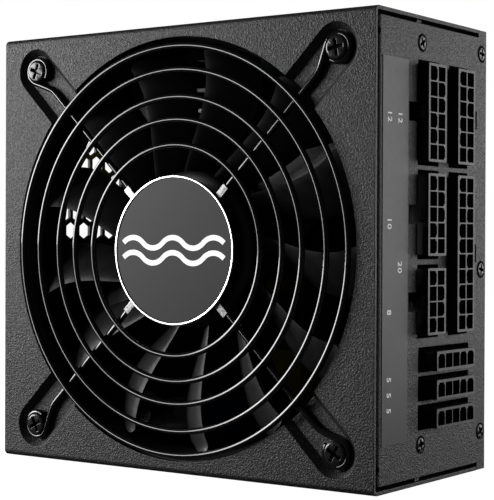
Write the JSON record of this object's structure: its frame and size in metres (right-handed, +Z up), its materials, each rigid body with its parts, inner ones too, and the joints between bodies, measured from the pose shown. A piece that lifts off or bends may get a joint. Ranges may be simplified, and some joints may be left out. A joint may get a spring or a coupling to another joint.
{
  "type": "modular computer power supply unit",
  "caption": "Boxy power supply unit with a large round fan grille, a badge at its centre and a panel of modular output sockets on one side.",
  "frame": {"origin": "centre of the narrow side that the unit rests on", "axes": "+X along the fan face towards the socket panel, +Y from the fan face to the back plate, +Z up"},
  "size_m": [0.135, 0.0651, 0.125],
  "materials": {
    "black_powder_coat": "fine textured matte powder coat",
    "smooth_black_label": "smooth satin film",
    "black_steel": "black zinc plate",
    "plated_steel": "tin plate",
    "gloss_black_wire": "gloss black enamel",
    "black_plastic": "moulded satin",
    "gloss_black_plastic": "polished moulding",
    "polished_aluminium": "polished",
    "satin_aluminium": "fine satin",
    "white_print": "printed ink",
    "dark_ferrite": "sintered",
    "brass": "machined",
    "copper": "enamelled copper",
    "circuit_board": "solder mask",
    "light_insulation": "soft insulation",
    "capacitor_sleeve": "shrunk film sleeve",
    "yellow_tape": "polyester tape",
    "plain_aluminium": "extruded",
    "blue_plastic": "moulded"
  },
  "bodies": {
    "housing": {"cover": "black_powder_coat", "base": "black_powder_coat", "label_strip": "smooth_black_label", "rating_label": "smooth_black_label", "cover_screws": "black_steel", "bracket_screws": "black_steel", "board_bracket": "plated_steel", "grille_rings": "gloss_black_wire", "grille_legs": "gloss_black_wire", "badge_base": "black_plastic", "badge_rim": "polished_aluminium", "badge_face": "satin_aluminium", "badge_emblem": "white_print", "badge_tabs": "plated_steel", "fan_frame": "black_plastic", "fan_screws": "black_steel", "fan_bearing": "brass", "fan_stator": "plated_steel", "fan_coils": "copper", "fan_driver_board": "circuit_board", "fan_cable": "light_insulation", "inlet_body": "black_plastic", "inlet_pins": "plated_steel", "switch_body": "black_plastic", "switch_terminals": "plated_steel", "socket_12_way": "black_plastic", "socket_10_way": "black_plastic", "socket_8_way": "black_plastic", "socket_20_way": "black_plastic", "drive_sockets": "black_plastic", "socket_pins": "plated_steel", "modular_board": "circuit_board", "bus_bars": "copper", "main_board": "circuit_board", "standoffs": "brass", "board_screws": "plated_steel", "insulator_sheet": "light_insulation", "bulk_capacitors": "capacitor_sleeve", "transformer_core": "dark_ferrite", "transformer_winding": "yellow_tape", "boost_choke_core": "dark_ferrite", "boost_choke_winding": "copper", "filter_choke": "dark_ferrite", "filter_capacitor": "yellow_tape", "bridge_rectifier": "black_plastic", "primary_heatsink": "plain_aluminium", "secondary_heatsink": "plain_aluminium", "output_capacitors": "capacitor_sleeve", "output_choke": "dark_ferrite", "standby_transformer": "yellow_tape", "fuse": "light_insulation", "relay": "blue_plastic", "mains_wires": "light_insulation"},
    "rotor": {"fan_rotor": "gloss_black_plastic", "rotor_magnet": "dark_ferrite", "fan_shaft": "plated_steel"},
    "rocker": {"switch_rocker": "gloss_black_plastic"}
  },
  "joints": [
    {"name": "fan_spin", "type": "hinge", "parent": "housing", "child": "rotor", "pos_m": [0, -0.02, 0.0625], "axis": [0, -1, 0], "continuous": true},
    {"name": "power_switch", "type": "hinge", "parent": "housing", "child": "rocker", "pos_m": [-0.0635, 0.003, 0.051], "axis": [0, -1, 0], "range_deg": [0, 20]}
  ]
}
